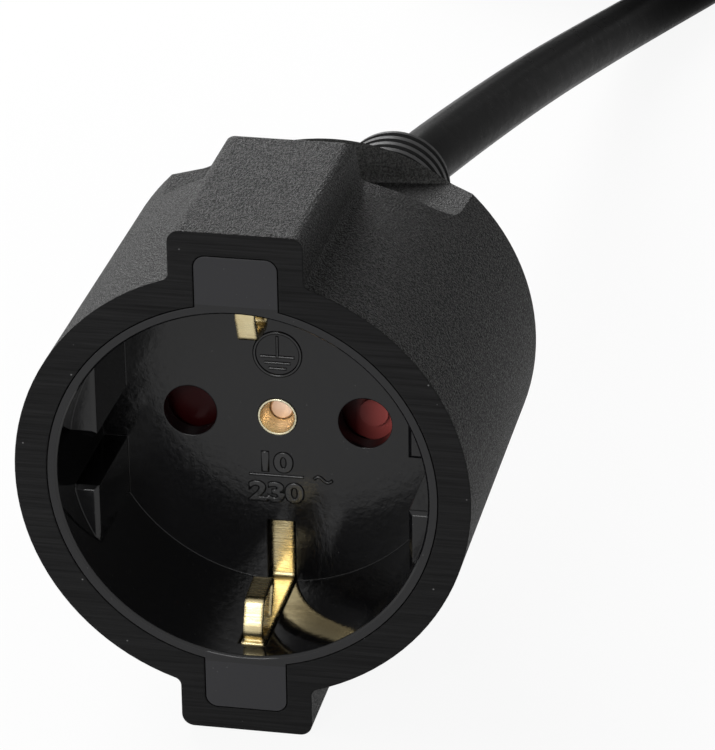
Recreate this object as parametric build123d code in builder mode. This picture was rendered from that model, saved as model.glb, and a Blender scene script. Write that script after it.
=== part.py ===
import os
from math import cos, floor, radians, sin, sqrt, tan
from build123d import *

os.makedirs("parts", exist_ok=True)

# Coupler outside
coupler_length = 84.0
barrel_radius = 24.0
barrel_draft = 0.15
barrel_length = 41.6
rear_rim_radius = barrel_radius - barrel_draft
rim_round = 0.6
cone_length = 21.9
cone_end = barrel_length + cone_length
cone_end_radius = 9.35
lug_half_width = 7.0
lug_proud = 4.3
lug_reach = barrel_radius + lug_proud
lug_setback = 3.0
lug_corner = 1.3
lug_blend = 0.9
scoop_angle = 60.0
scoop_lead = 15.6
scoop_tail = 3.8
scoop_floor = 16.7
scoop_fall = 0.75
scoop_round = 6.0
scoop_heel_round = 1.0
scoop_dish = 200.0
scoop_clear = 2.0

# Socket recess, set by the standard plug
recess_radius = 19.5
recess_depth = 17.5
pin_spacing = 19.0
pin_hole_radius = 2.9
insert_wall = 1.0
insert_radius = recess_radius + insert_wall
insert_gap = 0.12
mouth_chamfer = 0.25
face_thickness = 2.2
face_back = recess_depth + face_thickness
ear_half_width = 4.3
ear_reach = 25.7
ear_depth = 3.0
ear_corner = 1.2
guide_flat = 16.5
guide_start = 5.0
guide_channel = 6.0
guide_drop = 0.65
guide_bevel = 0.45

# Shutter chamber and contact carrier
seat_gap = 0.05
running_gap = 0.3
carrier_radius = 15.0
skirt_wall = 1.4
shutter_thickness = 2.0
pad_height = 0.6
pad_radius = 1.55
pad_shift = 0.4
pad_gap = 0.5
pad_front = face_back + pad_gap
shutter_front = pad_front + pad_height
shutter_back = shutter_front + shutter_thickness
shutter_hub_radius = 3.6
shutter_reach = 12.8
shutter_wing_angle = 40.0
shutter_travel = 40.0
stop_clear_angle = 8.0
carrier_gap = 0.4
carrier_length = 16.3
carrier_front = shutter_back + carrier_gap
carrier_back = carrier_front + carrier_length

# Rivet and spring
rivet_radius = 2.1
rivet_proud = 0.1
rivet_bore = 1.35
rivet_mouth = 1.9
rivet_end = 30.0
rivet_head_radius = 3.2
rivet_head_height = 1.0
core_face_radius = 1.12
core_chamfer = 0.18
spring_wire = 0.6
spring_radius = 5.0
spring_pitch = 0.8
spring_turns = 4.0
spring_pocket_inner = spring_radius - spring_wire / 2 - running_gap
spring_pocket_outer = spring_radius + spring_wire / 2 + running_gap
spring_pocket_depth = spring_pitch * spring_turns + spring_wire + running_gap

# Contacts and conductors
contact_inner = 2.45
contact_wall = 0.6
contact_outer = contact_inner + contact_wall
contact_setback = 1.3
contact_length = 12.4
contact_front = carrier_front + contact_setback
contact_back = contact_front + contact_length
contact_slit = 0.8
crimp_radius = 1.9
crimp_length = 5.5
strip_width = 2.4
strip_thickness = 0.6
strip_bend = 0.8
strip_level = 11.5
strip_shift = 0.18
strip_sink = 0.7
strip_proud = 0.2
strip_start = 2.6
strip_wall = recess_radius - strip_proud + strip_thickness / 2
strip_depth = recess_depth + strip_sink + strip_thickness / 2
groove_width = 3.1
groove_front = strip_start - seat_gap
groove_depth = recess_depth + strip_sink + strip_thickness + seat_gap
groove_reach = strip_wall + strip_thickness / 2 + seat_gap
slot_clear = 0.3
slot_width = strip_width + slot_clear
slot_lip = strip_sink - seat_gap
slot_edge = strip_level + strip_bend
slot_low = strip_level - (strip_thickness + slot_clear) / 2
slot_high = slot_edge + seat_gap
pass_height = strip_thickness + slot_clear + strip_bend / 2
pass_level = strip_level - strip_bend / 4
tongue_width = 2.0
tongue_start = 7.0
tongue_front = 2.3
tongue_knee = (4.2, 15.1)
tongue_heel = (9.2, 14.55)
tongue_tip = (7.4, 18.6)
tongue_bends = (1.5, 0.7, 0.7)
wire_radius = 1.15
wire_ring = 1.45

# Wiring space and strain relief
chamber_radius = 13.2
chamber_straight = 5.5
chamber_end_radius = 6.0
flange_front = 57.5
flange_back = 60.0
flange_radius = 9.0
neck_radius = 7.3
relief_root = 7.6
relief_tip = 6.5
rib_pitch = 2.12
rib_groove = 1.1
rib_slant = 0.3
rib_depth = 0.6
rib_lip = 0.7
rib_plain = 6.8

# Cord, hank and ties
cord_diameter = 7.3
cord_radius = cord_diameter / 2
cord_start = flange_back
layer_pitch = cord_diameter + 0.1
column_pitch = cord_diameter + 0.2
fold_inner = 22.0
fold_outer = fold_inner + column_pitch
hank_straight = 128.0
hank_front = 238.0
lane_x = 24.0
hank_x = lane_x - fold_outer
tie_thickness = 1.0
tie_width = 12.0
tie_round = 3.0

# Plug
plug_radius = 18.6
plug_length = 36.0
plug_insert_depth = 17.5
plug_rear_radius = 12.5
plug_relief_length = 22.0
plug_relief_root = 7.4
plug_relief_tip = 5.9
plug_pin_radius = 2.4
plug_pin_length = 19.0
bridge_radius = 15.6
bridge_thickness = 6.0
bridge_earth_radius = 2.45
bridge_earth_drop = 10.0
earth_notch_width = 7.0
earth_notch_level = 16.6
plug_strip_width = 4.0
plug_strip_thickness = 0.8
plug_round = 0.5
plug_pin_tip = 1.2
plug_collar = 1.2
guide_groove_height = 20.4
plug_key = guide_channel - 2 * guide_drop - 0.4
plug_strap_depth = 15.6
plug_chamber_radius = 13.1
plug_chamber_end = 15.5
plug_flange_front = plug_length - 6.0
plug_flange_back = plug_length - 3.5
plug_flange_radius = 8.5
plug_neck_radius = 7.0
tail_swing = 56.0

# Places
axis_z = lug_reach
front_y = -coupler_length / 2
bore_axis = Axis((0, 0, axis_z), (0, 1, 0))
side = Plane(origin=(0, front_y, axis_z), x_dir=(0, 1, 0), z_dir=(1, 0, 0))
pin_x = pin_spacing / 2
scoop_slope = tan(radians(scoop_angle))
scoop_start = barrel_length - scoop_lead
scoop_foot = scoop_start + (lug_reach - scoop_floor) / scoop_slope
scoop_heel = barrel_length + scoop_tail
scoop_heel_level = scoop_floor - scoop_fall
scoop_top = lug_reach + scoop_clear
scoop_end = scoop_heel + (scoop_top - scoop_heel_level) / scoop_slope
hank_floor = tie_thickness
hank_y = front_y + hank_front + cord_radius + fold_outer + hank_straight / 2
hole_half = fold_inner - cord_radius
bundle_half = fold_outer + cord_radius
low_top = hank_floor + cord_diameter + 2 * layer_pitch
high_top = low_top + layer_pitch


def across(depth):
    return Plane(origin=(0, front_y + depth, axis_z), x_dir=(1, 0, 0), z_dir=(0, -1, 0))


def place(x, depth, z):
    return (x, front_y + depth, axis_z + z)


def layer_z(layer):
    return hank_floor + cord_radius + (layer - 1) * layer_pitch


plug_axis_z = layer_z(3) + sqrt((plug_radius + cord_radius + 0.15) ** 2 - fold_inner ** 2)
plug_rear_y = hank_y + hank_straight / 2 - tail_swing
plug_axis = Axis((hank_x, 0, plug_axis_z), (0, 1, 0))
plug_back_y = plug_rear_y - plug_relief_length
plug_face_y = plug_back_y - plug_length
plug_side = Plane(origin=(hank_x, plug_face_y, plug_axis_z), x_dir=(0, 1, 0), z_dir=(1, 0, 0))


def plug_across(depth):
    return Plane(origin=(hank_x, plug_face_y + depth, plug_axis_z), x_dir=(1, 0, 0), z_dir=(0, -1, 0))


def plug_place(x, depth, z):
    return (hank_x + x, plug_face_y + depth, plug_axis_z + z)


def bend_radii(points, share=0.45):
    radii = []
    for before, here, after in zip(points, points[1:], points[2:]):
        first = Vector(*here) - Vector(*before)
        second = Vector(*after) - Vector(*here)
        half_turn = radians(first.get_angle(second)) / 2
        radii.append(share * min(first.length, second.length) / tan(half_turn))
    return radii


# Coupler body: drafted barrel, lugs, thumb scoops, rear cone and its hollows
with BuildPart() as coupler_body:
    with BuildSketch(side):
        with BuildLine():
            Polyline(
                (0, 0),
                (0, barrel_radius),
                (barrel_length, rear_rim_radius),
                (cone_end, cone_end_radius),
                (cone_end, 0),
                close=True,
            )
        make_face()
    revolve(axis=bore_axis)
    rear_rim = coupler_body.edges().filter_by(GeomType.CIRCLE).sort_by(lambda e: -e.radius)[1]
    fillet(rear_rim, rim_round)
    with BuildSketch(across(0)):
        lug_outline = Rectangle(2 * lug_half_width, 2 * lug_reach)
        fillet(lug_outline.vertices(), lug_corner)
    extrude(amount=-(barrel_length - lug_setback))
    lug_feet = coupler_body.edges().filter_by(
        lambda e: abs(abs(e.center().X) - lug_half_width) < 0.01
        and abs(e.center().Z - axis_z) < barrel_radius
        and e.length > barrel_length / 2
    )
    fillet(lug_feet, lug_blend)
    for way in (1, -1):
        with BuildSketch(side):
            with BuildLine():
                scoop_line = FilletPolyline(
                    (scoop_start - scoop_clear / scoop_slope, way * scoop_top),
                    (scoop_foot, way * scoop_floor),
                    (scoop_heel, way * scoop_heel_level),
                    (scoop_end, way * scoop_top),
                    radius=(scoop_round, scoop_heel_round),
                )
                Line(scoop_line @ 1, scoop_line @ 0)
            make_face()
        dish_axis = Axis((0, 0, axis_z + way * (scoop_floor + scoop_dish)), (0, 1, 0))
        revolve(axis=dish_axis, mode=Mode.SUBTRACT)
    with BuildSketch(side):
        with BuildLine():
            Polyline(
                (-1, 0),
                (-1, insert_radius + insert_gap),
                (face_back, insert_radius + insert_gap),
                (face_back, carrier_radius + seat_gap),
                (carrier_back, carrier_radius + seat_gap),
                (carrier_back, chamber_radius),
                (carrier_back + chamber_straight, chamber_radius),
                (flange_front, chamber_end_radius),
                (flange_front, flange_radius + seat_gap),
                (flange_back, flange_radius + seat_gap),
                (flange_back, neck_radius + seat_gap),
                (cone_end + 1, neck_radius + seat_gap),
                (cone_end + 1, 0),
                close=True,
            )
        make_face()
    revolve(axis=bore_axis, mode=Mode.SUBTRACT)
    with BuildSketch(across(0)):
        ear_pocket = Rectangle(2 * (ear_half_width + insert_gap), 2 * (ear_reach + insert_gap))
        fillet(ear_pocket.vertices(), ear_corner + insert_gap)
    extrude(amount=-ear_depth, mode=Mode.SUBTRACT)
coupler_body.part.label = "coupler_body"
export_step(coupler_body.part, "parts/coupler_body.step")


# Strain reliefs: flange and neck held in the body, ribbed taper outside
def build_relief(name, plane, axis, flange, body_end, end, sizes):
    held_radius, neck, root, tip = sizes
    slope = (root - tip) / (end - body_end)
    ribs = floor((end - rib_lip - body_end - rib_plain) / rib_pitch)
    points = [
        (flange[0], cord_radius + seat_gap),
        (flange[0], held_radius),
        (flange[1], held_radius),
        (flange[1], neck),
        (body_end, neck),
        (body_end, root),
    ]
    for rib in reversed(range(ribs)):
        crest = end - rib_lip - rib * rib_pitch
        groove = crest - rib_groove
        groove_radius = root - slope * (groove - body_end)
        crest_radius = root - slope * (crest - body_end)
        points.append((groove, groove_radius))
        points.append((groove + rib_slant, groove_radius - rib_depth))
        points.append((crest - rib_slant, crest_radius - rib_depth))
        points.append((crest, crest_radius))
    points.append((end, tip))
    points.append((end, cord_radius + seat_gap))
    with BuildPart() as relief:
        with BuildSketch(plane):
            with BuildLine():
                Polyline(*points, close=True)
            make_face()
        revolve(axis=axis)
    relief.part.label = name
    export_step(relief.part, f"parts/{name}.step")


build_relief(
    "strain_relief",
    side,
    bore_axis,
    (flange_front, flange_back),
    cone_end,
    coupler_length,
    (flange_radius, neck_radius, relief_root, relief_tip),
)

# Socket insert: cup, ears, guide flats, pierced face and shutter skirt with stops
with BuildPart() as socket_insert:
    with BuildSketch(side):
        with BuildLine():
            Polyline(
                (0, 0),
                (0, insert_radius),
                (face_back, insert_radius),
                (face_back, carrier_radius),
                (carrier_front, carrier_radius),
                (carrier_front, carrier_radius - skirt_wall),
                (face_back, carrier_radius - skirt_wall),
                (face_back, 0),
                close=True,
            )
        make_face()
    revolve(axis=bore_axis)
    with BuildSketch(across(0)):
        ear_outline = Rectangle(2 * ear_half_width, 2 * ear_reach)
        fillet(ear_outline.vertices(), ear_corner)
    extrude(amount=-ear_depth)
    with BuildSketch(across(0)):
        Circle(recess_radius)
    extrude(amount=-recess_depth, mode=Mode.SUBTRACT)
    with BuildSketch(across(guide_start)):
        Circle(recess_radius + insert_wall / 2)
        Rectangle(2 * guide_flat, 3 * recess_radius, mode=Mode.SUBTRACT)
        with Locations((0, -guide_drop)):
            Rectangle(3 * recess_radius, guide_channel, mode=Mode.SUBTRACT)
    extrude(amount=-(recess_depth - guide_start))
    guide_edges = socket_insert.edges().filter_by(GeomType.LINE).filter_by(
        lambda e: abs(e.center().Y - front_y - guide_start) < 0.01
    )
    chamfer(guide_edges, guide_bevel)
    mouth_edge = socket_insert.edges().filter_by(GeomType.CIRCLE).filter_by(
        lambda e: abs(e.center().Y - front_y) < 0.01 and abs(e.radius - recess_radius) < 0.01
    )
    chamfer(mouth_edge, mouth_chamfer)
    with BuildSketch(across(groove_front)):
        with Locations((strip_shift, 0)):
            Rectangle(groove_width, 2 * groove_reach)
            Rectangle(groove_width, 2 * slot_edge, mode=Mode.SUBTRACT)
    extrude(amount=groove_front - groove_depth, mode=Mode.SUBTRACT)
    with BuildSketch(across(face_back)):
        for half_turn in (0, 180):
            for stop_angle in (
                -shutter_wing_angle / 2 - stop_clear_angle,
                shutter_wing_angle / 2 + shutter_travel + stop_clear_angle,
            ):
                with PolarLocations(carrier_radius - skirt_wall - 1.2, 1, half_turn + stop_angle):
                    Rectangle(3.0, 1.8)
    extrude(amount=-(carrier_front - face_back))
    with BuildSketch(across(0)):
        with Locations((-pin_x, 0), (pin_x, 0)):
            Circle(pin_hole_radius)
        Circle(rivet_radius + seat_gap)
    extrude(amount=-(face_back + pad_gap), mode=Mode.SUBTRACT)
    slot_level = (slot_low + slot_high) / 2
    with BuildSketch(across(face_back + pad_gap)):
        with Locations((strip_shift, slot_level), (strip_shift, -slot_level)):
            Rectangle(slot_width, slot_high - slot_low)
    extrude(amount=face_back + pad_gap - recess_depth - slot_lip, mode=Mode.SUBTRACT)
socket_insert.part.label = "socket_insert"
export_step(socket_insert.part, "parts/socket_insert.step")

# Contact carrier: block behind the shutter that holds the contacts
with BuildPart() as contact_carrier:
    with BuildSketch(across(carrier_front)):
        Circle(carrier_radius)
        with Locations((-pin_x, 0), (pin_x, 0)):
            Circle(contact_outer + seat_gap, mode=Mode.SUBTRACT)
        Circle(rivet_radius + seat_gap, mode=Mode.SUBTRACT)
        with Locations((strip_shift, pass_level), (strip_shift, -pass_level)):
            Rectangle(slot_width, pass_height, mode=Mode.SUBTRACT)
    extrude(amount=-(carrier_back - carrier_front))
    with BuildSketch(across(carrier_front)):
        Circle(spring_pocket_outer)
        Circle(spring_pocket_inner, mode=Mode.SUBTRACT)
    extrude(amount=-spring_pocket_depth, mode=Mode.SUBTRACT)
    with BuildSketch(across(carrier_back)):
        Circle(rivet_head_radius + 0.4)
    extrude(amount=carrier_back - rivet_end + rivet_head_height, mode=Mode.SUBTRACT)
contact_carrier.part.label = "contact_carrier"
export_step(contact_carrier.part, "parts/contact_carrier.step")

# Shutter: two wings on a hub, with one raised pad
wing_edge = radians(shutter_wing_angle / 2)
with BuildPart() as shutter:
    with BuildSketch(across(shutter_front)):
        for direction in (1, -1):
            with BuildLine():
                wing_tip = ThreePointArc(
                    (direction * shutter_reach * cos(wing_edge), -direction * shutter_reach * sin(wing_edge)),
                    (direction * shutter_reach, 0),
                    (direction * shutter_reach * cos(wing_edge), direction * shutter_reach * sin(wing_edge)),
                )
                Line(wing_tip @ 1, (0, 0))
                Line((0, 0), wing_tip @ 0)
            make_face()
        Circle(shutter_hub_radius)
    extrude(amount=-shutter_thickness)
    with BuildSketch(across(face_back + running_gap)):
        Circle(shutter_hub_radius)
    extrude(amount=-(shutter_front - face_back))
    with BuildSketch(across(pad_front)):
        with Locations((pin_x + pad_shift, 0)):
            Circle(pad_radius)
    extrude(amount=-pad_height)
    with BuildSketch(across(0)):
        Circle(rivet_radius + running_gap)
    extrude(amount=-carrier_front, mode=Mode.SUBTRACT)
shutter.part.label = "shutter"
export_step(shutter.part, "parts/shutter.step")

# Shutter spring: open coil in the carrier's ring pocket
spring_start = carrier_front + running_gap + spring_wire / 2
with BuildPart() as shutter_spring:
    with BuildLine():
        coil = Helix(
            pitch=spring_pitch,
            height=spring_pitch * spring_turns,
            radius=spring_radius,
            center=place(0, spring_start, 0),
            direction=(0, 1, 0),
        )
    with BuildSketch(Plane(origin=coil @ 0, z_dir=coil % 0)):
        Circle(spring_wire / 2)
    sweep()
shutter_spring.part.label = "shutter_spring"
export_step(shutter_spring.part, "parts/shutter_spring.step")

# Rivet: tubular pivot with a flared mouth and a rear head
with BuildPart() as pivot_rivet:
    with BuildSketch(side):
        with BuildLine():
            Polyline(
                (recess_depth - rivet_proud, rivet_mouth),
                (recess_depth - rivet_proud, rivet_radius),
                (rivet_end - rivet_head_height, rivet_radius),
                (rivet_end - rivet_head_height, rivet_head_radius),
                (rivet_end, rivet_head_radius),
                (rivet_end, rivet_bore),
                (face_back, rivet_bore),
                close=True,
            )
        make_face()
    revolve(axis=bore_axis)
pivot_rivet.part.label = "pivot_rivet"
export_step(pivot_rivet.part, "parts/pivot_rivet.step")

with BuildPart() as rivet_core:
    with BuildSketch(side):
        with BuildLine():
            Polyline(
                (face_back, 0),
                (face_back, core_face_radius),
                (face_back + core_chamfer, rivet_bore - seat_gap),
                (rivet_end, rivet_bore - seat_gap),
                (rivet_end, 0),
                close=True,
            )
        make_face()
    revolve(axis=bore_axis)
rivet_core.part.label = "rivet_core"
export_step(rivet_core.part, "parts/rivet_core.step")


# Line contacts: slit sleeves with a crimp barrel at the back
def build_line_contact(name, x):
    with BuildPart() as contact:
        with BuildSketch(across(contact_front)):
            with Locations((x, 0)):
                Circle(contact_outer)
        extrude(amount=-(contact_back - contact_front))
        with BuildSketch(across(contact_front)):
            with Locations((x, 0)):
                Circle(contact_inner)
        extrude(amount=-(contact_back - contact_front - contact_wall), mode=Mode.SUBTRACT)
        with BuildSketch(across(contact_front)):
            with Locations((x, 0)):
                Rectangle(contact_slit, 3 * contact_outer)
        extrude(amount=-(contact_back - contact_front) * 0.65, mode=Mode.SUBTRACT)
        with BuildSketch(across(contact_back)):
            with Locations((x, 0)):
                Circle(crimp_radius)
        extrude(amount=-crimp_length)
        with BuildSketch(across(contact_back + crimp_length)):
            with Locations((x, 0)):
                Circle(wire_radius + seat_gap)
        extrude(amount=crimp_length - 1.0, mode=Mode.SUBTRACT)
    contact.part.label = name
    export_step(contact.part, f"parts/{name}.step")


build_line_contact("line_contact_left", -pin_x)
build_line_contact("line_contact_right", pin_x)

# Earth bracket: one strip with a strap behind the carrier, and a narrow spring loop at each end
strap_depth = carrier_back + strip_thickness / 2
half_route = [
    (strip_start, strip_wall),
    (strip_depth, strip_wall),
    (strip_depth, strip_level),
    (strap_depth, strip_level),
]
strip_route = half_route + [(depth, -level) for depth, level in reversed(half_route)]
tongue_route = [(tongue_start, strip_wall), (tongue_front, strip_wall), tongue_knee, tongue_heel, tongue_tip]
with BuildPart() as earth_bracket:
    with BuildLine(side):
        strip_line = FilletPolyline(*strip_route, radius=strip_bend)
    with BuildSketch(Plane(origin=strip_line @ 0, x_dir=(1, 0, 0), z_dir=strip_line % 0)):
        with Locations((strip_shift, 0)):
            Rectangle(strip_width, strip_thickness)
    sweep()
    for way in (1, -1):
        with BuildLine(side):
            tongue_line = FilletPolyline(
                *[(depth, way * level) for depth, level in tongue_route], radius=tongue_bends
            )
        with BuildSketch(Plane(origin=tongue_line @ 0, x_dir=(1, 0, 0), z_dir=tongue_line % 0)):
            with Locations((strip_shift, 0)):
                Rectangle(tongue_width, strip_thickness)
        sweep(path=tongue_line)
earth_bracket.part.label = "earth_bracket"
export_step(earth_bracket.part, "parts/earth_bracket.step")


# Insulated wires from the contacts to the end of the cord
def build_wire(name, points, bend):
    with BuildPart() as wire:
        with BuildLine():
            run = FilletPolyline(*points, radius=bend)
        with BuildSketch(Plane(origin=run @ 0, z_dir=run % 0)):
            Circle(wire_radius)
        sweep()
    wire.part.label = name
    export_step(wire.part, f"parts/{name}.step")


core_x = wire_ring * cos(radians(30))
core_z = wire_ring * sin(radians(30))
crimp_floor = contact_back + 1.0
wire_turn = contact_back + crimp_length + 2.5
for name, way in (("wire_line", -1), ("wire_neutral", 1)):
    build_wire(
        name,
        [
            place(way * pin_x, crimp_floor, 0),
            place(way * pin_x, wire_turn, 0),
            place(way * core_x, flange_front - 2.5, core_z),
            place(way * core_x, cord_start, core_z),
        ],
        2.0,
    )
build_wire(
    "wire_earth",
    [
        place(0, carrier_back + strip_thickness, 0),
        place(0, wire_turn + 2.0, 0),
        place(0, flange_front - 2.5, -wire_ring),
        place(0, cord_start, -wire_ring),
    ],
    2.0,
)

# Cord: from the strain relief down to the floor and into the hank
cord_route = [
    place(0, cord_start, 0),
    place(0, 85.0, 0),
    place(2.4, 112.0, -4.6),
    place(5.8, 148.0, -11.4),
    place(8.7, 180.0, -18.4),
    (11.6, front_y + 211.0, cord_radius),
    (16.4, front_y + 240.0, cord_radius + 0.3),
    (21.6, front_y + 262.0, layer_z(1)),
    (lane_x, front_y + 284.0, layer_z(1)),
    (lane_x, front_y + 304.0, layer_z(1)),
]
cord_radii = bend_radii(cord_route)
with BuildPart() as cord:
    with BuildLine():
        cord_line = FilletPolyline(*cord_route, radius=cord_radii)
    with BuildSketch(Plane(origin=cord_line @ 0, z_dir=cord_line % 0)):
        Circle(cord_radius)
    sweep()
cord.part.label = "cord"
export_step(cord.part, "parts/cord.step")

# Hank: three layers of two columns, and half a turn on top
hank_height = layer_z(3) + cord_radius - hank_floor
hank_round = cord_radius - 0.05
with BuildPart() as cord_hank:
    with BuildSketch(Plane.XY.offset(hank_floor)):
        with Locations((hank_x, hank_y)):
            SlotCenterToCenter(hank_straight, 2 * bundle_half, rotation=90)
            SlotCenterToCenter(hank_straight, 2 * hole_half, rotation=90, mode=Mode.SUBTRACT)
    extrude(amount=hank_height)
    flat_ends = cord_hank.faces().filter_by(Axis.Z)
    fillet(flat_ends.edges(), hank_round)
    with BuildSketch(Plane.XY.offset(layer_z(3))):
        with Locations((hank_x, hank_y)):
            SlotCenterToCenter(hank_straight, 2 * bundle_half, rotation=90)
            SlotCenterToCenter(hank_straight, 2 * (fold_outer - cord_radius), rotation=90, mode=Mode.SUBTRACT)
        with Locations((hank_x - bundle_half, hank_y - hank_straight / 2)):
            Rectangle(2 * bundle_half, 2 * hank_straight, mode=Mode.SUBTRACT)
        with Locations((hank_x + bundle_half, hank_y - hank_straight / 2 - bundle_half)):
            Rectangle(2 * bundle_half, 2 * bundle_half, mode=Mode.SUBTRACT)
    extrude(amount=layer_z(4) + cord_radius - layer_z(3))
    fillet(cord_hank.faces().sort_by(Axis.Z)[-1].edges(), tie_round)
    with BuildSketch(Plane.XY.offset(layer_z(3))):
        with Locations((hank_x, hank_y + hank_straight / 2)):
            Circle(bundle_half - 1.0)
            Circle(fold_inner - 1.0, mode=Mode.SUBTRACT)
        with Locations((hank_x, hank_y - bundle_half)):
            Rectangle(3 * bundle_half, hank_straight + 2 * bundle_half, mode=Mode.SUBTRACT)
    extrude(amount=layer_z(4) + cord_radius - 1.0 - layer_z(3))
cord_hank.part.label = "cord_hank"
export_step(cord_hank.part, "parts/cord_hank.step")

# Tail: from the top of the hank over to the plug
tail_corner = (tail_swing ** 2 + fold_inner ** 2) / (4 * tail_swing)
tail_top = hank_y + hank_straight / 2
tail_route = [
    (hank_x - fold_inner, tail_top + tail_corner, layer_z(4)),
    (hank_x - fold_inner, tail_top - tail_corner, layer_z(4)),
    (hank_x, plug_rear_y + tail_corner, plug_axis_z),
    plug_place(0, plug_flange_back, 0),
]
tail_radii = bend_radii(tail_route)
with BuildPart() as cord_tail:
    with BuildLine():
        tail_line = FilletPolyline(*tail_route, radius=tail_radii)
    with BuildSketch(Plane(origin=tail_line @ 0, z_dir=tail_line % 0)):
        Circle(cord_radius)
    sweep()
cord_tail.part.label = "cord_tail"
export_step(cord_tail.part, "parts/cord_tail.step")


# Ties: flat bands round each long side of the hank
def build_tie(name, way, top):
    tie_y = plug_rear_y - plug_relief_length / 2
    tie_plane = Plane(origin=(hank_x, tie_y, 0), x_dir=(1, 0, 0), z_dir=(0, -1, 0))
    outline = [
        (way * hole_half, hank_floor),
        (way * bundle_half, hank_floor),
        (way * bundle_half, top),
    ]
    if top > low_top:
        outline.append((way * (fold_outer - cord_radius), top))
    outline.append((way * hole_half, low_top))
    with BuildPart() as tie:
        with BuildSketch(tie_plane):
            with BuildLine():
                FilletPolyline(*outline, radius=tie_round, close=True)
            make_face()
            offset(amount=tie_thickness)
        extrude(amount=tie_width / 2, both=True)
        with BuildSketch(tie_plane):
            with BuildLine():
                FilletPolyline(*outline, radius=tie_round, close=True)
            make_face()
        extrude(amount=tie_width, both=True, mode=Mode.SUBTRACT)
    tie.part.label = name
    export_step(tie.part, f"parts/{name}.step")


build_tie("hank_tie_left", -1, low_top)
build_tie("hank_tie_right", 1, high_top)

# Plug body: round plug with a waisted grip, guide grooves, earth notches and its hollows
with BuildPart() as plug_body:
    with BuildSketch(plug_side):
        with BuildLine():
            nose = Polyline(
                (plug_length, 0),
                (0, 0),
                (0, plug_radius - plug_round),
                (plug_round, plug_radius),
                (plug_insert_depth + 2.0, plug_radius),
            )
            grip = Spline(
                nose @ 1,
                (plug_insert_depth + 9.0, plug_radius - 1.6),
                (plug_length, plug_rear_radius),
                tangents=((1, 0), (0.8, -1)),
            )
            Line(grip @ 1, nose @ 0)
        make_face()
    revolve(axis=plug_axis)
    with BuildSketch(plug_side):
        with BuildLine():
            Polyline(
                (-1, 0),
                (-1, bridge_radius + seat_gap),
                (bridge_thickness, bridge_radius + seat_gap),
                (bridge_thickness, plug_chamber_radius),
                (plug_chamber_end, plug_chamber_radius),
                (plug_flange_front, chamber_end_radius),
                (plug_flange_front, plug_flange_radius + seat_gap),
                (plug_flange_back, plug_flange_radius + seat_gap),
                (plug_flange_back, plug_neck_radius + seat_gap),
                (plug_length + 1, plug_neck_radius + seat_gap),
                (plug_length + 1, 0),
                close=True,
            )
        make_face()
    revolve(axis=plug_axis, mode=Mode.SUBTRACT)
    with BuildSketch(plug_across(0)):
        with Locations((plug_radius, 0), (-plug_radius, 0)):
            Rectangle(2 * (plug_radius - guide_flat + 0.4), guide_groove_height)
        Rectangle(3 * plug_radius, plug_key, mode=Mode.SUBTRACT)
    extrude(amount=-(recess_depth - guide_start + 0.5), mode=Mode.SUBTRACT)
    with BuildSketch(plug_across(0)):
        with Locations((0, plug_radius), (0, -plug_radius)):
            Rectangle(earth_notch_width, 2 * (plug_radius - earth_notch_level))
    extrude(amount=-plug_insert_depth, mode=Mode.SUBTRACT)
    with BuildSketch(plug_across(plug_strap_depth - 1.2)):
        Rectangle(plug_strip_width + 0.3, 2 * earth_notch_level + 0.1)
        Circle(plug_chamber_radius - 1.0, mode=Mode.SUBTRACT)
    extrude(amount=-(1.2 + plug_strip_thickness / 2 + 0.15), mode=Mode.SUBTRACT)
plug_body.part.label = "plug_body"
export_step(plug_body.part, "parts/plug_body.step")

build_relief(
    "plug_relief",
    plug_side,
    plug_axis,
    (plug_flange_front, plug_flange_back),
    plug_length,
    plug_length + plug_relief_length,
    (plug_flange_radius, plug_neck_radius, plug_relief_root, plug_relief_tip),
)

# Plug bridge: disc that carries the pins, with the hole for an earth pin
with BuildPart() as plug_bridge:
    with BuildSketch(plug_across(0)):
        Circle(bridge_radius)
        with Locations((-pin_x, 0), (pin_x, 0)):
            Circle(plug_pin_radius + seat_gap, mode=Mode.SUBTRACT)
        with Locations((0, -bridge_earth_drop)):
            Circle(bridge_earth_radius, mode=Mode.SUBTRACT)
    extrude(amount=-bridge_thickness)
plug_bridge.part.label = "plug_bridge"
export_step(plug_bridge.part, "parts/plug_bridge.step")


# Plug pins: round tip, collar behind the bridge and crimp barrel
def build_plug_pin(name, x):
    with BuildPart() as pin:
        with BuildSketch(plug_across(-plug_pin_length)):
            with Locations((x, 0)):
                Circle(plug_pin_radius)
        extrude(amount=-(plug_pin_length + bridge_thickness))
        tip_edge = pin.edges().sort_by(Axis.Y)[0]
        fillet(tip_edge, plug_pin_tip)
        with BuildSketch(plug_across(bridge_thickness)):
            with Locations((x, 0)):
                Circle(plug_pin_radius + 0.8)
        extrude(amount=-plug_collar)
        with BuildSketch(plug_across(bridge_thickness + plug_collar)):
            with Locations((x, 0)):
                Circle(crimp_radius)
        extrude(amount=-crimp_length)
        with BuildSketch(plug_across(bridge_thickness + plug_collar + crimp_length)):
            with Locations((x, 0)):
                Circle(wire_radius + seat_gap)
        extrude(amount=crimp_length - 1.0, mode=Mode.SUBTRACT)
    pin.part.label = name
    export_step(pin.part, f"parts/{name}.step")


build_plug_pin("plug_pin_left", -pin_x)
build_plug_pin("plug_pin_right", pin_x)

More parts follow.
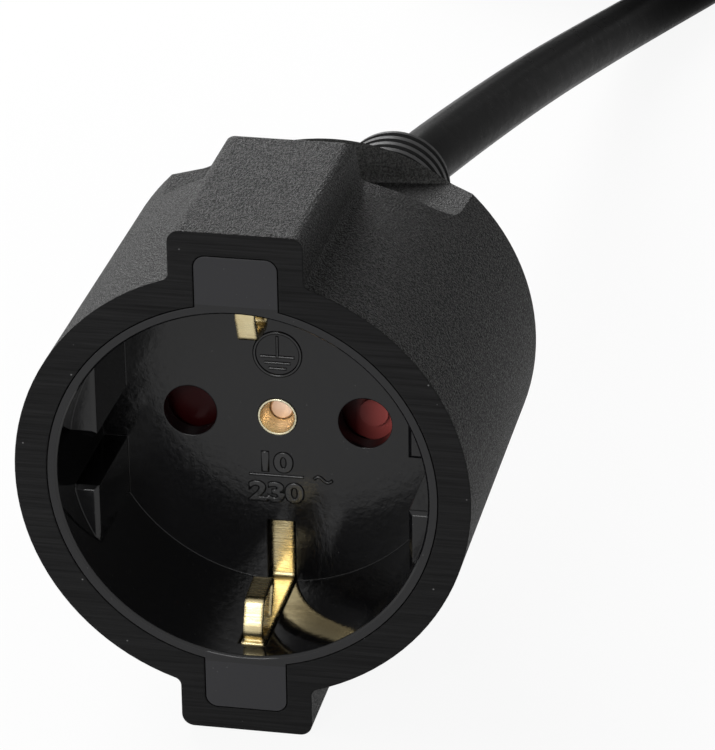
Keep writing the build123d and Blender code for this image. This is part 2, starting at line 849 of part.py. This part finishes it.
# Plug earth bracket: strip from one notch through the body to the other
notch_strip = earth_notch_level + plug_strip_thickness / 2
with BuildPart() as plug_earth_bracket:
    with BuildLine(plug_side):
        plug_strip_line = FilletPolyline(
            (1.0, notch_strip),
            (plug_strap_depth, notch_strip),
            (plug_strap_depth, -notch_strip),
            (1.0, -notch_strip),
            radius=1.0,
        )
    with BuildSketch(Plane(origin=plug_strip_line @ 0, x_dir=(1, 0, 0), z_dir=plug_strip_line % 0)):
        Rectangle(plug_strip_width, plug_strip_thickness)
    sweep()
plug_earth_bracket.part.label = "plug_earth_bracket"
export_step(plug_earth_bracket.part, "parts/plug_earth_bracket.step")

# Plug wires
plug_crimp_back = bridge_thickness + plug_collar + crimp_length
for name, way in (("plug_wire_line", -1), ("plug_wire_neutral", 1)):
    build_wire(
        name,
        [
            plug_place(way * pin_x, bridge_thickness + plug_collar + 1.0, 0),
            plug_place(way * pin_x, plug_crimp_back + 4.5, 0),
            plug_place(way * core_x, plug_flange_front - 2.5, core_z),
            plug_place(way * core_x, plug_flange_back, core_z),
        ],
        2.0,
    )
build_wire(
    "plug_wire_earth",
    [
        plug_place(0, plug_strap_depth + plug_strip_thickness / 2, 0),
        plug_place(0, plug_strap_depth + 4.5, 0),
        plug_place(0, plug_flange_front - 2.5, -wire_ring),
        plug_place(0, plug_flange_back, -wire_ring),
    ],
    2.0,
)
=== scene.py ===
import math

import bpy
from mathutils import Euler, Matrix, Vector


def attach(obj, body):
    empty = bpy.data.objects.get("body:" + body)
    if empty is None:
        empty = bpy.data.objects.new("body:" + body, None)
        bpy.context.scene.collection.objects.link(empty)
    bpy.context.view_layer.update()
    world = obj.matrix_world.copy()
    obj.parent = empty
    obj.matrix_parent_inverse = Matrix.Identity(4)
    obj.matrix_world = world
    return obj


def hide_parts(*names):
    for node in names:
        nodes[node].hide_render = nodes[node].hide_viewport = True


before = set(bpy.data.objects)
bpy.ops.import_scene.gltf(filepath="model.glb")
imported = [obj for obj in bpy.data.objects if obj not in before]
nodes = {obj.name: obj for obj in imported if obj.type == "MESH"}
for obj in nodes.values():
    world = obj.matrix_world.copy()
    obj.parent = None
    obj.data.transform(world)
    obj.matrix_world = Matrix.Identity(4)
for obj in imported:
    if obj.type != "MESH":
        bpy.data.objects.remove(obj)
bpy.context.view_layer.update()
scene = bpy.context.scene
collection = scene.collection

# One millimetre, in metres
MM = 0.001

# Camera at the photograph's viewpoint: metres, degrees, pixels of the photograph, millimetres of sensor
CAMERA_PLACE = (0.09556, -0.44004, 0.23018)
CAMERA_TURN = (65.182, 0.735, 11.460)
FOCAL_PIXELS = 4445.2
PHOTO_HEIGHT = 750.0
SENSOR = 36.0

# Places shared with the CAD, in millimetres
AXIS_Z = 28.3
FRONT_Y = -42.0
FACE_Y = FRONT_Y + 17.5
CORD_RADIUS = 3.65
FOLD_INNER = 22.0
FOLD_OUTER = 29.5
HANK_X = -5.5
HANK_Y = 293.15
HANK_HALF = 64.0
LAYER_LOW = 4.65
LAYER_PITCH = 7.4
PLUG_AXIS_Z = 23.67
PLUG_REAR_Y = 301.15

# Turns of the hank as column and layer, and marks along one turn, which runs from 0 to 1
HANK_LAY = [
    (FOLD_OUTER, 1),
    (FOLD_INNER, 1),
    (FOLD_INNER, 2),
    (FOLD_OUTER, 2),
    (FOLD_OUTER, 3),
    (FOLD_INNER, 3),
    (FOLD_OUTER, 4),
]
QUARTER = 0.25
RUN_MARKS = [0.0, 0.06, 0.125, 0.19]
BEND_STEPS = 8
LEAD_JOINS = 0.15

# The cord's way from the last turn into the plug, in millimetres
TAIL_CORNER = 16.16
TAIL_END_Y = 275.65

# Marks on the face, in millimetres from the bore axis
MARK_SINK = 0.02
EARTH_X = 0.15
EARTH_Z = 7.3
EARTH_RADIUS = 2.5
EARTH_RING_WIDTH = 0.42
EARTH_RING_SIDES = 48
EARTH_BARS = [(1.85, -0.3), (1.4, -1.0), (0.95, -1.65)]
EARTH_BAR_WIDTH = 0.36
EARTH_STEM_GAP = 0.4
RULE_FROM = -3.2
RULE_TO = 2.75
RULE_Z = -6.95
RULE_WIDTH = 0.34
WAVE_X = 3.85
WAVE_Z = -7.05
WAVE_LENGTH = 2.0
WAVE_RISE = 0.32
WAVE_STEPS = 12
WAVE_WIDTH = 0.4
FIGURES = {
    "upper_figures": ("10", -0.45, -6.4),
    "lower_figures": ("230", -0.3, -9.95),
}
FIGURE_HEIGHT = 2.2
FIGURE_SHARE = 0.72
FIGURE_WIDEN = 1.3
FIGURE_SWELL = 0.05
FIGURE_RISE = 0.04
FIGURE_ROUND = 0.14

# Where looks change, in millimetres, and the Y of a normal below which a face looks to the front
EAR_INNER = 20.4
MOUTH_DEPTH = 1.0
# Band of Y across which the scoops' rear walls get painted light in the rubber
SCOOP_Y = 6.0
SCOOP_HALF = 8.0
SCOOP_SOFT = 1.0
# Across X, the shutter's painted shade runs up to the first mark and its painted highlight starts from the
# second
SHUTTER_SHADE_TO = 7.8
SHUTTER_HIGHLIGHT_FROM = 12.0
FRONT_FACING = -0.97

# Textures: scale along X, Y and Z, the part of a noise's range that is used, and the size of specks
GRAIN_STRETCH = (1.0, 0.6, 1.0)
TOOL_STRETCH = (0.02, 1.0, 1.0)
STREAK_STRETCH = (0.06, 1.0, 1.0)
SCORE_STRETCH = (0.3, 1.0, 1.0)
TEXTURE_LOW = 0.3
TEXTURE_HIGH = 0.7
SPECK_CORE = 0.03
SPECK_EDGE = 0.06

# Rounding of edges by the shader, in metres
EDGE_ROUND = 0.0002

# Floor, world and lamps: metres and watts
FLOOR_HALF = 3.0
FLOOR_DROP = 0.0002
FLOOR_GLOW = 0.92
WORLD_DIM = 0.06
WORLD_BACK_SHARE = 0.3
WORLD_EDGE = (0.12, 0.55)
LAMP_AIM = (0.0, 0.0, 0.03)
LAMPS = {
    "key": ((-0.45, 0.9, 0.45), (0.6, 0.6), 11.0),
    "right": ((0.7, 0.25, 0.35), (0.5, 0.5), 0.3),
    "front": ((-0.21, -0.98, 0.49), (0.35, 0.25), 3.0),
}


def metres(point):
    return tuple(c * MM for c in point)


def add_camera():
    data = bpy.data.cameras.new("camera")
    data.sensor_fit = "VERTICAL"
    data.sensor_height = SENSOR
    data.lens = FOCAL_PIXELS / PHOTO_HEIGHT * SENSOR
    data.clip_start = 0.01
    data.clip_end = 20.0
    camera = bpy.data.objects.new("camera", data)
    turn = Euler([math.radians(angle) for angle in CAMERA_TURN]).to_matrix().to_4x4()
    camera.matrix_world = Matrix.Translation(CAMERA_PLACE) @ turn
    collection.objects.link(camera)
    scene.camera = camera


# Helpers that add shader nodes to a node tree
class Graph:
    def __init__(self, tree):
        self.tree = tree

    def node(self, kind, **values):
        made = self.tree.nodes.new(kind)
        for key, value in values.items():
            setattr(made, key, value)
        return made

    def link(self, source, target):
        self.tree.links.new(source, target)

    # A number or a colour is set on the socket, and anything else is linked to it
    def put(self, value, socket):
        if isinstance(value, (int, float)):
            socket.default_value = value
        elif isinstance(value, tuple):
            socket.default_value = (*value, 1.0)
        else:
            self.link(value, socket)

    def math(self, operation, *values):
        made = self.node("ShaderNodeMath", operation=operation)
        for socket, value in zip(made.inputs, values):
            self.put(value, socket)
        return made.outputs[0]

    def ramp(self, value, low, high, to_low=0.0, to_high=1.0, kind="LINEAR"):
        made = self.node("ShaderNodeMapRange", interpolation_type=kind)
        made.inputs["From Min"].default_value = low
        made.inputs["From Max"].default_value = high
        made.inputs["To Min"].default_value = to_low
        made.inputs["To Max"].default_value = to_high
        self.link(value, made.inputs["Value"])
        return made.outputs["Result"]

    def spread(self, texture, to_low=0.0, to_high=1.0):
        return self.ramp(texture, TEXTURE_LOW, TEXTURE_HIGH, to_low, to_high)

    def away(self, value, middle):
        return self.math("ABSOLUTE", self.math("SUBTRACT", value, middle))

    def axis(self, name, vector):
        split = self.node("ShaderNodeSeparateXYZ")
        self.link(vector, split.inputs[0])
        return split.outputs[name]

    def mixed(self, kind, mask, a, b):
        made = self.node("ShaderNodeMix", data_type=kind)
        self.link(mask, made.inputs["Factor"])
        self.put(a, made.inputs["A"])
        self.put(b, made.inputs["B"])
        return made.outputs["Result"]

    def colour(self, mask, a, b):
        return self.mixed("RGBA", mask, a, b)

    def blend(self, mask, a, b):
        return self.mixed("FLOAT", mask, a, b)

    # 1 for rays that see the backdrop, straight or by a reflection, and 0 for the rest
    def backdrop_rays(self):
        path = self.node("ShaderNodeLightPath")
        seen = path.outputs["Is Camera Ray"]
        for flag in ("Is Glossy Ray", "Is Transmission Ray"):
            seen = self.math("MAXIMUM", seen, path.outputs[flag])
        return seen


# A material with its shader, and textures placed by the object's own coordinates
class Look(Graph):
    def __init__(self, name):
        self.material = bpy.data.materials.new(name)
        self.material.use_nodes = True
        super().__init__(self.material.node_tree)
        self.shader = self.tree.nodes["Principled BSDF"]
        self.place = self.node("ShaderNodeTexCoord").outputs["Object"]

    def along(self, name):
        return self.axis(name, self.place)

    def normal(self, name):
        return self.axis(name, self.node("ShaderNodeNewGeometry").outputs["True Normal"])

    def front(self):
        return self.math("LESS_THAN", self.normal("Y"), FRONT_FACING)

    def scaled(self, scale):
        mapping = self.node("ShaderNodeMapping")
        mapping.inputs["Scale"].default_value = scale
        self.link(self.place, mapping.inputs["Vector"])
        return mapping.outputs["Vector"]

    def noise(self, scale, detail=4.0, rough=0.55, stretch=(1.0, 1.0, 1.0)):
        texture = self.node("ShaderNodeTexNoise")
        texture.inputs["Scale"].default_value = scale
        texture.inputs["Detail"].default_value = detail
        texture.inputs["Roughness"].default_value = rough
        self.link(self.scaled(stretch), texture.inputs["Vector"])
        return texture.outputs["Fac"]

    def specks(self, scale):
        cells = self.node("ShaderNodeTexVoronoi", feature="F1")
        cells.inputs["Scale"].default_value = scale
        self.link(self.place, cells.inputs["Vector"])
        return self.ramp(cells.outputs["Distance"], SPECK_CORE, SPECK_EDGE, 1.0, 0.0)

    def bump(self, height, strength, distance, edge=0.0):
        made = self.node("ShaderNodeBump")
        made.inputs["Strength"].default_value = strength
        made.inputs["Distance"].default_value = distance
        self.link(height, made.inputs["Height"])
        if edge:
            rounded = self.node("ShaderNodeBevel", samples=6)
            rounded.inputs["Radius"].default_value = edge
            self.link(rounded.outputs["Normal"], made.inputs["Normal"])
        self.link(made.outputs["Normal"], self.shader.inputs["Normal"])

    def paint(self, **values):
        for key, value in values.items():
            self.put(value, self.shader.inputs[key.replace("_", " ")])


# Grained rubber with tool lines on front faces; the rear walls of the scoops get painted light, a paler base
# colour where the lamps don't reach them
def rubber_body():
    look = Look("body_rubber")
    front = look.front()
    pebbles = look.noise(4600.0, detail=1.0, rough=0.5, stretch=GRAIN_STRETCH)
    fine = look.noise(8800.0, detail=1.0, rough=0.5, stretch=GRAIN_STRETCH)
    grain = look.math("ADD", look.math("MULTIPLY", pebbles, 0.7), look.math("MULTIPLY", fine, 0.6))
    pits = look.ramp(grain, 0.55, 0.76)
    tool = look.spread(look.noise(4200.0, detail=3.0, rough=0.65, stretch=TOOL_STRETCH))
    height = look.blend(front, grain, look.math("MULTIPLY", tool, 0.07))
    look.bump(height, strength=1.0, distance=0.0003, edge=0.0003)
    grained = look.colour(pits, (0.001, 0.001, 0.001), (0.022, 0.022, 0.0216))
    # Painted light: a paler base colour on the scoops' rear walls, standing in for light the lamps don't
    # give there
    painted_light = look.colour(pits, (0.05, 0.05, 0.049), (0.115, 0.115, 0.112))
    off_scoop = look.away(look.along("Y"), SCOOP_Y * MM)
    at_scoop = look.ramp(off_scoop, SCOOP_HALF * MM, (SCOOP_HALF + SCOOP_SOFT) * MM, 1.0, 0.0)
    painted_light_mask = look.math("MULTIPLY", look.ramp(look.normal("Y"), -0.1, -0.4), at_scoop)
    lined = look.colour(tool, (0.012, 0.012, 0.0122), (0.024, 0.024, 0.0244))
    lined = look.colour(look.specks(520.0), lined, (0.2, 0.2, 0.2))
    look.paint(
        Base_Color=look.colour(front, look.colour(painted_light_mask, grained, painted_light), lined),
        Roughness=look.blend(front, look.ramp(grain, 0.45, 0.85, 0.62, 0.4), 0.45),
        Specular_IOR_Level=0.04,
    )
    return look.material


def smooth_black(name, dark, light, rough, grain_scale, grain, shine, sheen=0.0):
    look = Look(name)
    fine = look.noise(grain_scale)
    look.bump(fine, strength=grain, distance=0.0001, edge=EDGE_ROUND)
    look.paint(
        Base_Color=look.colour(look.noise(90.0, detail=2.0), dark, light),
        Roughness=look.spread(fine, rough - 0.05, rough + 0.05),
        Specular_IOR_Level=shine,
        Sheen_Weight=sheen,
        Sheen_Roughness=0.15,
    )
    return look.material


# Glossy walls, a hazier face, and a dull mouth whose ears are paler than its ring
def insert_plastic():
    look = Look("insert_plastic")
    front = look.front()
    at_mouth = look.math("LESS_THAN", look.along("Y"), (FRONT_Y + MOUTH_DEPTH) * MM)
    mouth = look.math("MULTIPLY", front, at_mouth)
    flow = look.noise(1000.0, detail=3.0, rough=0.6)
    haze = look.noise(2500.0, detail=2.0)
    height = look.blend(front, look.math("MULTIPLY", flow, 0.25), flow)
    look.bump(height, strength=0.16, distance=0.0002, edge=EDGE_ROUND)
    ground = look.colour(flow, (0.004, 0.004, 0.0046), (0.008, 0.008, 0.009))
    off_axis = look.away(look.along("Z"), AXIS_Z * MM)
    ears = look.math("MULTIPLY", mouth, look.math("GREATER_THAN", off_axis, EAR_INNER * MM))
    ground = look.colour(ears, ground, (0.016, 0.016, 0.0185))
    rough = look.blend(front, 0.06, look.ramp(haze, 0.35, 0.65, 0.14, 0.22))
    look.paint(
        Base_Color=look.colour(look.specks(900.0), ground, (0.1, 0.1, 0.1)),
        Roughness=look.blend(mouth, rough, 0.5),
        Specular_IOR_Level=0.36,
    )
    return look.material


def metal(name, dark, light, rough, scratches=0.15, edge=0.0, full=1.0):
    look = Look(name)
    streak = look.noise(5200.0, detail=3.0, rough=0.6, stretch=STREAK_STRETCH)
    scored = look.ramp(look.noise(900.0, rough=0.7, stretch=SCORE_STRETCH), 0.58, 0.66)
    look.bump(streak, strength=scratches, distance=0.00006, edge=edge)
    ground = look.colour(look.spread(look.noise(350.0, detail=3.0)), dark, light)
    worn = tuple(0.45 * c for c in dark)
    look.paint(
        Base_Color=look.colour(look.math("MULTIPLY", scored, 0.5), ground, worn),
        Roughness=look.spread(streak, rough - 0.06, rough + 0.08),
        Metallic=full,
    )
    return look.material


def moulded_tone(look):
    tone = look.noise(500.0, detail=3.0)
    look.bump(tone, strength=0.15, distance=0.0001)
    return tone


def plastic(name, dark, light, rough):
    look = Look(name)
    tone = moulded_tone(look)
    look.paint(
        Base_Color=look.colour(tone, dark, light),
        Roughness=look.spread(tone, rough - 0.06, rough + 0.06),
    )
    return look.material


# Red, with painted shade behind the left pin hole and a painted highlight behind the right one
def shutter_plastic():
    look = Look("shutter_plastic")
    tone = moulded_tone(look)
    # Painted shade on the left of the shutter, fading into a painted highlight on the right
    right = look.ramp(look.along("X"), SHUTTER_SHADE_TO * MM, SHUTTER_HIGHLIGHT_FROM * MM)
    look.paint(
        Base_Color=look.colour(right, (0.03, 0.0013, 0.0017), (0.5, 0.1, 0.09)),
        Roughness=look.spread(tone, 0.3, 0.4),
        Specular_IOR_Level=0.12,
    )
    return look.material


def dress(name, material):
    slots = nodes[name].data.materials
    slots.clear()
    slots.append(material)


# Cord: one spline from the strain relief to the floor, round the hank and into the plug
def layer_z(layer):
    return LAYER_LOW + LAYER_PITCH * (layer - 1)


# A turn starts at the front of the right run, goes round the rear bend, and ends with the front bend
def hank_point(column, height, mark):
    bend = column / math.cos(math.pi / BEND_STEPS / 2)
    run = HANK_HALF * 2
    quarter = int(mark / QUARTER)
    share = mark / QUARTER - quarter
    if quarter == 0:
        return (HANK_X + column, HANK_Y - HANK_HALF + run * share, height)
    if quarter == 2:
        return (HANK_X - column, HANK_Y + HANK_HALF - run * share, height)
    rear = quarter == 1
    angle = math.pi * (share if rear else 1.0 + share)
    middle = HANK_Y + (HANK_HALF if rear else -HANK_HALF)
    return (HANK_X + bend * math.cos(angle), middle + bend * math.sin(angle), height)


def turn_marks():
    bend = [QUARTER * (1.0 + step / BEND_STEPS) for step in range(BEND_STEPS)]
    half = RUN_MARKS + bend
    return half + [2 * QUARTER + mark for mark in half]


# The front bend leads over to the next turn; the last turn draws in along its rear bend and stops there
def hank_route():
    route = []
    for turn, (column, layer) in enumerate(HANK_LAY):
        last = turn == len(HANK_LAY) - 1
        for mark in turn_marks():
            if turn == 0 and mark < LEAD_JOINS:
                continue
            if last and mark > 2 * QUARTER:
                break
            wide = column
            height = layer_z(layer)
            if last:
                wide += (FOLD_INNER - column) * max(mark / QUARTER - 1.0, 0.0)
            elif mark >= 3 * QUARTER:
                share = mark / QUARTER - 3.0
                next_column, next_layer = HANK_LAY[turn + 1]
                wide += (next_column - column) * share
                height += (layer_z(next_layer) - height) * share
            route.append(hank_point(wide, height, mark))
    return route


def cord_points():
    lead = [
        (0.0, 18.0, AXIS_Z),
        (0.0, 43.0, AXIS_Z),
        (2.3, 70.0, 23.7),
        (5.4, 106.0, 16.9),
        (7.9, 138.0, 9.9),
        (11.5, 169.0, CORD_RADIUS),
        (24.2, 198.0, 3.95),
        (25.0, 220.0, layer_z(1)),
        (24.0, 242.0, layer_z(1)),
    ]
    tail = [
        (HANK_X - FOLD_INNER, HANK_Y + HANK_HALF - TAIL_CORNER, layer_z(4)),
        (HANK_X, PLUG_REAR_Y + TAIL_CORNER, PLUG_AXIS_Z),
        (HANK_X, TAIL_END_Y, PLUG_AXIS_Z),
    ]
    return lead + hank_route() + tail


def add_cord(material):
    data = bpy.data.curves.new("cord_line", "CURVE")
    data.dimensions = "3D"
    data.bevel_depth = CORD_RADIUS * MM
    data.bevel_resolution = 5
    data.resolution_u = 6
    data.use_fill_caps = True
    points = [metres(p) for p in cord_points()]
    spline = data.splines.new("NURBS")
    spline.points.add(len(points) - 1)
    for point, place in zip(spline.points, points):
        point.co = (*place, 1.0)
    spline.order_u = 3
    spline.use_endpoint_u = True
    data.materials.append(material)
    cord = bpy.data.objects.new("cord_line", data)
    collection.objects.link(cord)
    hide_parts("cord", "cord_hank", "cord_tail")
    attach(cord, "coupler")


# Raised marks on the face of the socket: the earth sign and plain figures
def face_place(x, z, proud=0.0):
    return metres((x, FACE_Y - proud, AXIS_Z + z))


def finish_mark(name, data, material):
    data.materials.append(material)
    mark = bpy.data.objects.new(name, data)
    collection.objects.link(mark)
    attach(mark, "coupler")
    return mark


def add_mark(name, runs, width, material, closed=False):
    data = bpy.data.curves.new(name, "CURVE")
    data.dimensions = "3D"
    data.bevel_depth = width / 2 * MM
    data.bevel_resolution = 3
    data.use_fill_caps = True
    for run in runs:
        spline = data.splines.new("POLY")
        spline.points.add(len(run) - 1)
        for point, (x, z) in zip(spline.points, run):
            point.co = (*face_place(x, z, -MARK_SINK), 1.0)
        spline.use_cyclic_u = closed
    finish_mark(name, data, material)


def add_figures(name, words, x, z, material):
    data = bpy.data.curves.new(name, "FONT")
    data.body = words
    data.size = FIGURE_HEIGHT / FIGURE_SHARE * MM
    data.align_x = "CENTER"
    data.offset = FIGURE_SWELL * MM
    data.extrude = FIGURE_RISE * MM
    data.bevel_depth = FIGURE_ROUND * MM
    data.bevel_resolution = 3
    mark = finish_mark(name, data, material)
    upright = Matrix.Rotation(math.radians(90.0), 4, "X")
    widen = Matrix.Diagonal((FIGURE_WIDEN, 1.0, 1.0, 1.0))
    mark.matrix_world = Matrix.Translation(face_place(x, z)) @ upright @ widen


def add_earth_sign(material):
    ring = []
    for side in range(EARTH_RING_SIDES):
        angle = 2.0 * math.pi * side / EARTH_RING_SIDES
        ring.append((EARTH_X + EARTH_RADIUS * math.cos(angle), EARTH_Z + EARTH_RADIUS * math.sin(angle)))
    add_mark("earth_ring", [ring], EARTH_RING_WIDTH, material, closed=True)
    bars = []
    for half, lift in EARTH_BARS:
        bars.append([(EARTH_X - half, EARTH_Z + lift), (EARTH_X + half, EARTH_Z + lift)])
    stem_top = EARTH_Z + EARTH_RADIUS - EARTH_STEM_GAP
    stem_foot = EARTH_Z + EARTH_BARS[0][1]
    bars.append([(EARTH_X, stem_top), (EARTH_X, stem_foot)])
    add_mark("earth_bars", bars, EARTH_BAR_WIDTH, material)


def add_marks(material):
    add_earth_sign(material)
    add_mark("figure_bar", [[(RULE_FROM, RULE_Z), (RULE_TO, RULE_Z)]], RULE_WIDTH, material)
    wave = []
    for step in range(WAVE_STEPS + 1):
        share = step / WAVE_STEPS
        wave.append((WAVE_X + WAVE_LENGTH * share, WAVE_Z + WAVE_RISE * math.sin(2.0 * math.pi * share)))
    add_mark("wave_sign", [wave], WAVE_WIDTH, material)
    for name, (words, x, z) in FIGURES.items():
        add_figures(name, words, x, z, material)


# White floor that glows for the rays that see the backdrop
def add_floor():
    mesh = bpy.data.meshes.new("floor")
    low = -FLOOR_HALF
    high = FLOOR_HALF
    corners = [(low, low, 0.0), (high, low, 0.0), (high, high, 0.0), (low, high, 0.0)]
    mesh.from_pydata(corners, [], [(0, 1, 2, 3)])
    floor = bpy.data.objects.new("floor", mesh)
    floor.location.z = -FLOOR_DROP
    collection.objects.link(floor)
    look = Look("floor_white")
    look.paint(Base_Color=(0.86, 0.86, 0.86), Roughness=0.7)
    glow = look.node("ShaderNodeEmission")
    glow.inputs["Color"].default_value = (1.0, 1.0, 1.0, 1.0)
    glow.inputs["Strength"].default_value = 1.0
    mix = look.node("ShaderNodeMixShader")
    look.link(look.math("MULTIPLY", look.backdrop_rays(), FLOOR_GLOW), mix.inputs[0])
    look.link(look.shader.outputs[0], mix.inputs[1])
    look.link(glow.outputs[0], mix.inputs[2])
    look.link(mix.outputs[0], look.tree.nodes["Material Output"].inputs["Surface"])
    mesh.materials.append(look.material)


# White to look at and in reflections; as light, bright from the left and back, dim from the right and front
def add_world():
    world = bpy.data.worlds.new("studio")
    scene.world = world
    world.use_nodes = True
    graph = Graph(world.node_tree)
    background = graph.tree.nodes["Background"]
    background.inputs["Color"].default_value = (1.0, 1.0, 1.0, 1.0)
    way = graph.node("ShaderNodeTexCoord").outputs["Generated"]
    left = graph.math("MULTIPLY", graph.axis("X", way), -1.0)
    side = graph.math("MULTIPLY_ADD", graph.axis("Y", way), WORLD_BACK_SHARE, left)
    level = graph.ramp(side, *WORLD_EDGE, WORLD_DIM, 1.0, "SMOOTHSTEP")
    shown = graph.math("MAXIMUM", level, graph.backdrop_rays())
    graph.link(shown, background.inputs["Strength"])


def add_lamp(name, place, size, power):
    data = bpy.data.lights.new(name, "AREA")
    data.shape = "RECTANGLE"
    data.size, data.size_y = size
    data.energy = power
    lamp = bpy.data.objects.new(name, data)
    way = Vector(LAMP_AIM) - Vector(place)
    lamp.matrix_world = Matrix.Translation(place) @ way.to_track_quat("-Z", "Y").to_matrix().to_4x4()
    collection.objects.link(lamp)


add_camera()
add_floor()
add_world()
for name, (place, size, power) in LAMPS.items():
    add_lamp(name, place, size, power)

# Materials on the CAD nodes
body = rubber_body()
relief = smooth_black(
    "relief_rubber",
    dark=(0.022, 0.022, 0.0222),
    light=(0.034, 0.034, 0.0344),
    rough=0.5,
    grain_scale=1800.0,
    grain=0.12,
    shine=0.05,
)
insert = insert_plastic()
moulded = smooth_black(
    "mark_plastic",
    dark=(0.004, 0.004, 0.0045),
    light=(0.006, 0.006, 0.0065),
    rough=0.14,
    grain_scale=1500.0,
    grain=0.3,
    shine=0.5,
)
sheath = smooth_black(
    "cord_sheath",
    dark=(0.004, 0.004, 0.0041),
    light=(0.006, 0.006, 0.0061),
    rough=0.3,
    grain_scale=700.0,
    grain=0.01,
    shine=0.004,
    sheen=0.25,
)
brass = metal("brass", (0.48, 0.38, 0.2), (0.63, 0.54, 0.32), rough=0.25, scratches=0.2, edge=0.0005)
rivet = metal(
    "rivet_brass",
    dark=(0.86, 0.77, 0.5),
    light=(0.96, 0.9, 0.68),
    rough=0.26,
    scratches=0.2,
    edge=0.0002,
    full=0.75,
)
copper = metal("copper", (0.72, 0.47, 0.34), (0.9, 0.66, 0.5), rough=0.4, scratches=0.3, edge=0.0001)
steel = metal("spring_steel", (0.5, 0.5, 0.5), (0.65, 0.65, 0.65), rough=0.25)
nickel = metal("pin_metal", (0.6, 0.59, 0.56), (0.75, 0.74, 0.71), rough=0.18)
red = shutter_plastic()
grey = plastic("carrier_plastic", (0.03, 0.03, 0.03), (0.05, 0.05, 0.05), rough=0.5)
tie = plastic("tie_plastic", (0.02, 0.02, 0.02), (0.04, 0.04, 0.04), rough=0.55)
bridge = plastic("bridge_plastic", (0.03, 0.03, 0.03), (0.05, 0.05, 0.05), rough=0.45)
brown = plastic("wire_brown", (0.16, 0.07, 0.03), (0.22, 0.1, 0.05), rough=0.4)
blue = plastic("wire_blue", (0.02, 0.1, 0.42), (0.04, 0.14, 0.52), rough=0.4)
green = plastic("wire_green", (0.16, 0.38, 0.04), (0.5, 0.5, 0.05), rough=0.4)
wardrobe = {
    "coupler_body": body,
    "plug_body": body,
    "strain_relief": relief,
    "plug_relief": relief,
    "socket_insert": insert,
    "contact_carrier": grey,
    "shutter": red,
    "shutter_spring": steel,
    "pivot_rivet": rivet,
    "rivet_core": copper,
    "line_contact_left": brass,
    "line_contact_right": brass,
    "earth_bracket": brass,
    "plug_earth_bracket": brass,
    "plug_bridge": bridge,
    "plug_pin_left": nickel,
    "plug_pin_right": nickel,
    "hank_tie_left": tie,
    "hank_tie_right": tie,
    "wire_line": brown,
    "wire_neutral": blue,
    "wire_earth": green,
    "plug_wire_line": brown,
    "plug_wire_neutral": blue,
    "plug_wire_earth": green,
}
for name, material in wardrobe.items():
    dress(name, material)
add_cord(sheath)
add_marks(moulded)

scene.view_settings.view_transform = "Standard"
